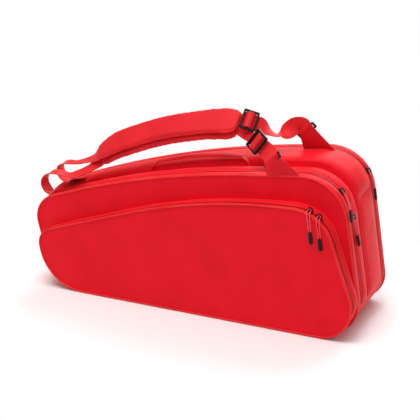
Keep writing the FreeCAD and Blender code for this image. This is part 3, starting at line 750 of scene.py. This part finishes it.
def outward_again(piece):
    """Closes the seam of a rolled form and turns all its faces outward."""
    chosen(piece)
    bpy.ops.object.mode_set(mode="EDIT")
    bpy.ops.mesh.select_all(action="SELECT")
    bpy.ops.mesh.remove_doubles(threshold=0.0002)
    bpy.ops.mesh.normals_make_consistent(inside=False)
    bpy.ops.object.mode_set(mode="OBJECT")


def inflated(piece, pressure, cap, voxel=0.0035):
    """Blows the cloth skin up from inside, as foam fills it, and lets no point move past the cap."""
    remesh = piece.modifiers.new("even_cloth", "REMESH")
    remesh.mode, remesh.voxel_size = "VOXEL", voxel
    bpy.context.view_layer.objects.active = piece
    bpy.ops.object.modifier_apply(modifier="even_cloth")
    fair = piece.modifiers.new("fair", "SMOOTH")
    fair.factor, fair.iterations = 0.6, 14
    bpy.ops.object.modifier_apply(modifier="fair")
    before = [v.co.copy() for v in piece.data.vertices]
    skin = piece.modifiers.new("foam_filling", "CLOTH")
    skin.settings.use_pressure = True
    skin.settings.uniform_pressure_force = pressure
    skin.settings.quality = 5
    skin.settings.tension_stiffness = skin.settings.compression_stiffness = 25
    skin.settings.bending_stiffness = 2
    skin.settings.effector_weights.gravity = 0
    for moment in range(1, 21):
        scene.frame_set(moment)
    bpy.ops.object.modifier_apply(modifier="foam_filling")
    scene.frame_set(1)
    for vertex, start in zip(piece.data.vertices, before):
        moved = vertex.co - start
        vertex.co = start + moved * min(1.0, cap / max(moved.length, 1e-9))
    smooth = piece.modifiers.new("finer", "SUBSURF")
    smooth.levels = smooth.render_levels = 1
    bpy.ops.object.modifier_apply(modifier="finer")


def stitched(name, piece, points, body, long=0.0030, gap=0.0014, thick=0.0007):
    """A row of lock stitches: one short thread for each, lying on the piece's cloth near the points."""
    mesh, left = bmesh.new(), 0.0
    found = [piece.closest_point_on_mesh(point)[1:3] for point in points]
    points, faces = [place for place, _ in found], [face for _, face in found]
    for a, b, face in zip(points, points[1:], faces):
        run = b - a
        while left + long <= run.length:
            at = a + run.normalized() * (left + long / 2)
            ahead = run.normalized()
            side = face.cross(ahead).normalized()
            turn = Matrix((ahead, side, ahead.cross(side))).transposed().to_4x4()
            size = Matrix.Diagonal(Vector((long, thick, thick))).to_4x4()
            bmesh.ops.create_cube(mesh, size=1, matrix=Matrix.Translation(at) @ turn @ size)
            left += long + gap
        left -= run.length
    return dressed(piece_from(mesh, name), stitch_thread, body)


def stitch_channels(piece, stations, across, inset, depth, crossings):
    """Draws the cloth in along a line inset from both edges, and across at the crossings."""
    middle, turned = run_of(stations, across)
    samples = [(middle(k / 160), *turned(k / 160), k / 160) for k in range(161)]
    tree = kdtree.KDTree(len(samples))
    for i, sample in enumerate(samples):
        tree.insert(sample[0], i)
    tree.balance()
    wide = [PAD_WIDE * share for _, _, share in PAD_STATIONS]
    for vertex in piece.data.vertices:
        centre, side, face, t = samples[tree.find(vertex.co)[1]]
        off = vertex.co - centre
        sideways, height = off.dot(side), off.dot(face)
        line = through(wide, t) / 2 - inset
        pull = math.exp(-((abs(sideways) - line) / 0.0022) ** 2)
        for crossing in crossings:
            if abs(sideways) < line:
                pull = max(pull, math.exp(-((t - crossing) / 0.008) ** 2))
        vertex.co -= face * (depth * pull * (1 if height > 0 else -1))


upper_pad = [Vector((x, PAD_Y, z)) for x, z, _ in PAD_STATIONS]
pad_across = [SLOPE] * len(upper_pad)
lower_pad = []
for i, p in enumerate(upper_pad):
    ahead = (upper_pad[min(i + 1, len(upper_pad) - 1)] - upper_pad[max(i - 1, 0)]).normalized()
    side = (SLOPE - ahead * SLOPE.dot(ahead)).normalized()
    lower_pad.append(p + ahead.cross(side) * PAD_STEP + side * PAD_SLIP)
pad_widths = [PAD_WIDE * share for _, _, share in PAD_STATIONS]
for name, stations, crossings in (("upper", upper_pad, (0.10, 0.145, 0.19)), ("lower", lower_pad, (0.10,))):
    flat_widths = [w - SWELL_WIDE for w in pad_widths]
    pad = rolled(name + "_shoulder_pad", stations, pad_across, flat_widths, PAD_THICK - SWELL_THICK)
    outward_again(pad)
    inflated(pad, 4.0, 0.0014)
    stitch_channels(pad, stations, pad_across, SEAM_INSET, 0.0016, crossings)
    dressed(pad, pad_cloth, "strap_pair")
    middle, turned = run_of(stations, pad_across)
    for edge, sign in (("front", 1), ("rear", -1)):
        row = []
        for k in range(121):
            t = 0.03 + 0.94 * k / 120
            side, face = turned(t)
            row.append(middle(t) + side * (sign * (through(pad_widths, t) / 2 - SEAM_INSET)) - face * 0.008)
        stitched("%s_pad_stitches_%s" % (name, edge), pad, row, "strap_pair")
    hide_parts(name + "_strap_pad")


# ---- Webbing ------------------------------------------------------------------------------------
# Ribbed polyester webbing. Each strap's head web comes out of its pad, runs through a ladder adjuster
# and ends over a ring that a triangular tab holds to the bag; the tail webs end in a ring and a loop.
web_cloth = cloth("ribbed_webbing", (0.86, 0.026, 0.032), (0.60, 0.008, 0.016), 0.0018, rough=0.42,
                  depth=0.0003, uv=True)
WEB, WEB_THICK = 0.036, 0.0016


def webbing(name, stations, across, wide, curl=0.0, long=None, thick=WEB_THICK):
    """Flat webbing through its stations, with a slight curl across and its own weave map in metres."""
    middle, turned = run_of(stations, across)
    length = sum((b - a).length for a, b in zip(stations, stations[1:]))
    long = long or max(12, round(length / 0.004))

    def place(u, v):
        side, face = turned(u)
        across_it = 2 * v - 1
        sag = noise.noise(Vector((u * length * 30, v * 1.5, len(name)))) * 0.0006
        raised = curl * (across_it ** 2 - 0.4) + sag
        return middle(u) + side * (through(wide, u) / 2 * across_it) + face * raised

    piece = laid(name, long, 8, place, turned(0.5)[1])
    for corner in piece.data.uv_layers[0].data:
        corner.uv = (corner.uv.x * length, corner.uv.y * WEB)
    return thickened(piece, thick, middle=True)


def joined_at_ring(piece, body_a, body_b, start, end, *nodes):
    """Webbing between two bodies, from start to end: it gets its finish and stays fixed where it is laid;
    body_a, body_b, start and end are not used.
    """
    dressed(piece, web_cloth)
    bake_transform(piece)
    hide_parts(*nodes)


def v(*values):
    """A point or direction given in millimetres."""
    return Vector(values) / 1000


FRAME_LONG, UNDER_FRAME, WEB_GAP = 0.034, 0.0067, 0.0005
TRAVEL = {name: joints[name + "_adjuster_slide"]["range_m"][1] for name in ("upper", "lower")}
ADJUSTERS = {
    "upper": (v(105, 0, 411), Vector((1, 0.25, -0.3)), LEAN),
    "lower": (v(135, -35, 377), Vector((0.76, -0.45, -0.47)), Vector((-0.32, -0.89, 0.33))),
}
FOLD = [(-17, -4.4), (-13, -4.2), (-9, -3), (-6.5, 0), (-5, 3), (0, 4), (5, 3), (6.5, 0), (9, -3), (13, -4.2)]
runs = {}
black_moulding = plastic("black_moulding", (0.007, 0.007, 0.0075), 0.22, 0.00005)
for name, (middle, along, outward) in ADJUSTERS.items():
    along = along.normalized()
    outward = (outward - along * outward.dot(along)).normalized()
    side = along.cross(outward)
    across_bar = outward.cross(along)
    folded = [middle + along * (x / 1000) + outward * (z / 1000) for x, z in FOLD]
    fold = webbing(name + "_web_over_bars", folded, [across_bar] * len(folded), [WEB] * len(folded), long=46)
    dressed(fold, web_cloth, name + "_adjuster")
    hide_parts(name + "_strap_fold")
    under = middle - outward * UNDER_FRAME
    reach = FRAME_LONG / 2 + TRAVEL[name] + WEB_GAP
    runs[name] = (under, along, side, reach)
    finished(name + "_strap_adjuster", black_moulding)

RINGS = {
    "front": (v(179, -62, 350), Vector((.46, -.55, -.5)), Vector((.727, 0, .687))),
    "rear": (v(211, 62, 385), Vector((.5, .3, -.6)), Vector((.67, 0, .74))),
    "tail": (v(-312, 11, 229), Vector((.88, 0, .47)), Vector((.2, -1, .1))),
}
over_ring = {}
for name, (middle, along, across) in RINGS.items():
    along = along.normalized()
    across = (across - along * across.dot(along)).normalized()
    RINGS[name] = (middle, along, across)
    over_ring[name] = along.cross(across) * (-0.0036 if name == "tail" else 0.0036)
    finished(name + "_ring", black_moulding)

under, along, side, reach = runs["upper"]
ring, ring_along, ring_across = RINGS["rear"]
stations = [v(84, -1, 404), under - along * 0.008, under + along * reach * 0.5, under + along * reach,
            v(145, 21, 386), v(157, 31, 377), v(168, 38, 378), v(180, 46, 388), v(191, 51, 397),
            v(202, 57, 396), ring - ring_along * 0.006 + over_ring["rear"], ring + over_ring["rear"]]
across = [SLOPE, side, side, side, Vector((.25, -.95, -.1)), Vector((.42, -.85, .2)), Vector((.6, -.6, -.25)),
          Vector((.5, -.15, -.8)), Vector((-.1, .1, -.95)), Vector((-.5, 0, -.8)), -ring_across, -ring_across]
web = webbing("upper_strap_web", stations, across, [0.034] + [WEB] * 11, curl=0.001)
joined_at_ring(web, "strap_pair", "bag", v(156, 31, 378), v(202, 57, 396),
               "upper_strap_head_web", "rear_ring_web")

under, along, side, reach = runs["lower"]
ring, ring_along, ring_across = RINGS["front"]
stations = [v(84, 1, 391), v(96, -4, 384), v(108, -12, 380), under - along * 0.009, under + along * 0.012,
            under + along * reach, ring - ring_along * 0.015 + over_ring["front"] * 0.3,
            ring - ring_along * 0.006 + over_ring["front"], ring + over_ring["front"]]
across = [SLOPE, SLOPE, SLOPE + side, side, side, side] + [-ring_across] * 3
web = webbing("lower_strap_web", stations, across, [0.034, 0.026, 0.022, 0.026, 0.033] + [WEB] * 4, curl=0.001)
joined_at_ring(web, "strap_pair", "bag", v(150, -44, 369), v(175, -58, 353),
               "lower_strap_head_web", "front_ring_web")

ring, ring_along, ring_across = RINGS["tail"]
stations = [v(-242, -2, 301), v(-254, -1, 293), v(-271, 8, 282), v(-299, 16, 270), v(-322, 19, 264),
            v(-340, 22, 262), v(-353, 23, 257), v(-357, 23, 246), v(-352, 21, 233), v(-340, 17, 226),
            v(-326, 12, 224),
            ring - ring_along * 0.007 + over_ring["tail"], ring + over_ring["tail"]]
across = [SLOPE, SLOPE, Vector((0, -.9, -.4)), Vector((0, -1, -.2))] + [-ACROSS] * 7 + [ring_across] * 2
web = webbing("upper_strap_tail", stations, across, [0.036, 0.032, 0.026, 0.026, 0.030] + [0.034] * 8,
              curl=0.0015)
joined_at_ring(web, "strap_pair", "bag", v(-300, 16, 270), v(-350, 23, 258),
               "upper_strap_tail_web", "tail_ring_web")

stations = [v(-238, 1, 288), v(-247, -3, 280), v(-262, -13, 268), v(-290, -23, 254), v(-312, -28, 250),
            v(-334, -30, 254), v(-354, -30, 252), v(-367, -30, 240), v(-369, -30, 225), v(-361, -30, 211),
            v(-350, -30, 203)]
across = [SLOPE, SLOPE, Vector((0, -.8, -.6)), Vector((0, -.9, -.4))] + [-ACROSS] * 7
web = webbing("lower_strap_tail", stations, across, [0.034, 0.030, 0.024, 0.026, 0.030] + [0.034] * 5 + [0.024],
              curl=0.001)
joined_at_ring(web, "strap_pair", "bag", v(-285, -20, 260), v(-335, -30, 254), "lower_strap_tail_web",
               "tail_loop_web")


# ---- Strap tabs ------------------------------------------------------------------------------------
# Folded triangles of webbing. The narrow end is sewn round the ring, and the wide end into a seam.
tab_cloth = cloth("tab_cloth", (0.70, 0.014, 0.022), (0.50, 0.006, 0.012), 0.0014, rough=0.5, sheen=0.4)
TABS = {
    "front": (v(208, -74, 324.8), Vector((1, 0, .1)), 0.072),
    "rear": (v(239, 72, 344.2), Vector((1, 0, -.02)), 0.072),
    "tail": (v(-287, 11, 238), Vector((.2, -1, .1)), 0.034),
}
for name, (sewn, direction, wide) in TABS.items():
    ring, ring_along, ring_across = RINGS[name]
    held = ring - ring_along * 0.0016 + over_ring[name] * 1.35
    direction = direction.normalized()
    if direction.dot(ring_across) < 0:
        direction = -direction

    def place(u, v_):
        edge_a = held + ring_across * (WEB * 0.96 * (v_ - 0.5))
        edge_b = sewn + direction * (wide * (v_ - 0.5))
        if name == "rear":
            edge_b.z = min(edge_b.z, top_height(REAR, edge_b.x) + 0.003)
        point = edge_a.lerp(edge_b, u)
        swell = 0.0016 * math.sin(math.pi * u) * math.sin(math.pi * v_)
        crease = 0.0008 * noise.noise(Vector((u * 3, v_ * 6, len(name)))) * math.sin(math.pi * u)
        return point + (edge_b - edge_a).cross(ring_across).normalized() * (swell + crease)

    normal = (sewn - held).cross(ring_across)
    tab = thickened(laid(name + "_tab", 18, 14, place, normal), 0.0022, middle=True)
    if name == "front":
        dressed(tab, tab_cloth)
        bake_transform(tab)
    else:
        dressed(tab, tab_cloth, "bag")
    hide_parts(name + "_strap_tab")


# ---- Grab handle -----------------------------------------------------------------------------------
# A short padded handle over the groove between the compartments, sewn down at both ends.
HANDLE_START, HANDLE_END = -0.112, 0.096
HANDLE_LIFT = 0.027
stations = []
for i in range(7):
    x = HANDLE_START + (HANDLE_END - HANDLE_START) * i / 6
    arch = 0.82 + 0.18 * math.sin(math.pi * i / 6)
    stations.append(Vector((x, 0.002, top_height(FRONT, x) + HANDLE_LIFT * arch)))
handle = rolled("grab_handle_pad", stations, [ACROSS] * 7, [0.0235] * 7, 0.0065, long=56, round_about=20)
outward_again(handle)
inflated(handle, 3.0, 0.0008, voxel=0.003)
dressed(handle, pad_cloth, "grab_handle")
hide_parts("grab_handle")
for end, step, name in ((stations[0], -0.012, "tail"), (stations[-1], 0.012, "head")):
    x = end.x + step
    foot = Vector((x, -0.0015, top_height(FRONT, x) - 0.003))
    up = [foot, foot.lerp(end, 0.4) + v(0, 0, 3), end + v(-step * 500, -3, 0)]
    anchor = webbing(name + "_handle_anchor", up, [ACROSS] * 3, [0.008, 0.010, 0.013], long=14, thick=0.0018)
    dressed(anchor, web_cloth)
    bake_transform(anchor)
    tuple(foot)
    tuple(end)
    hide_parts("grab_handle_anchors")
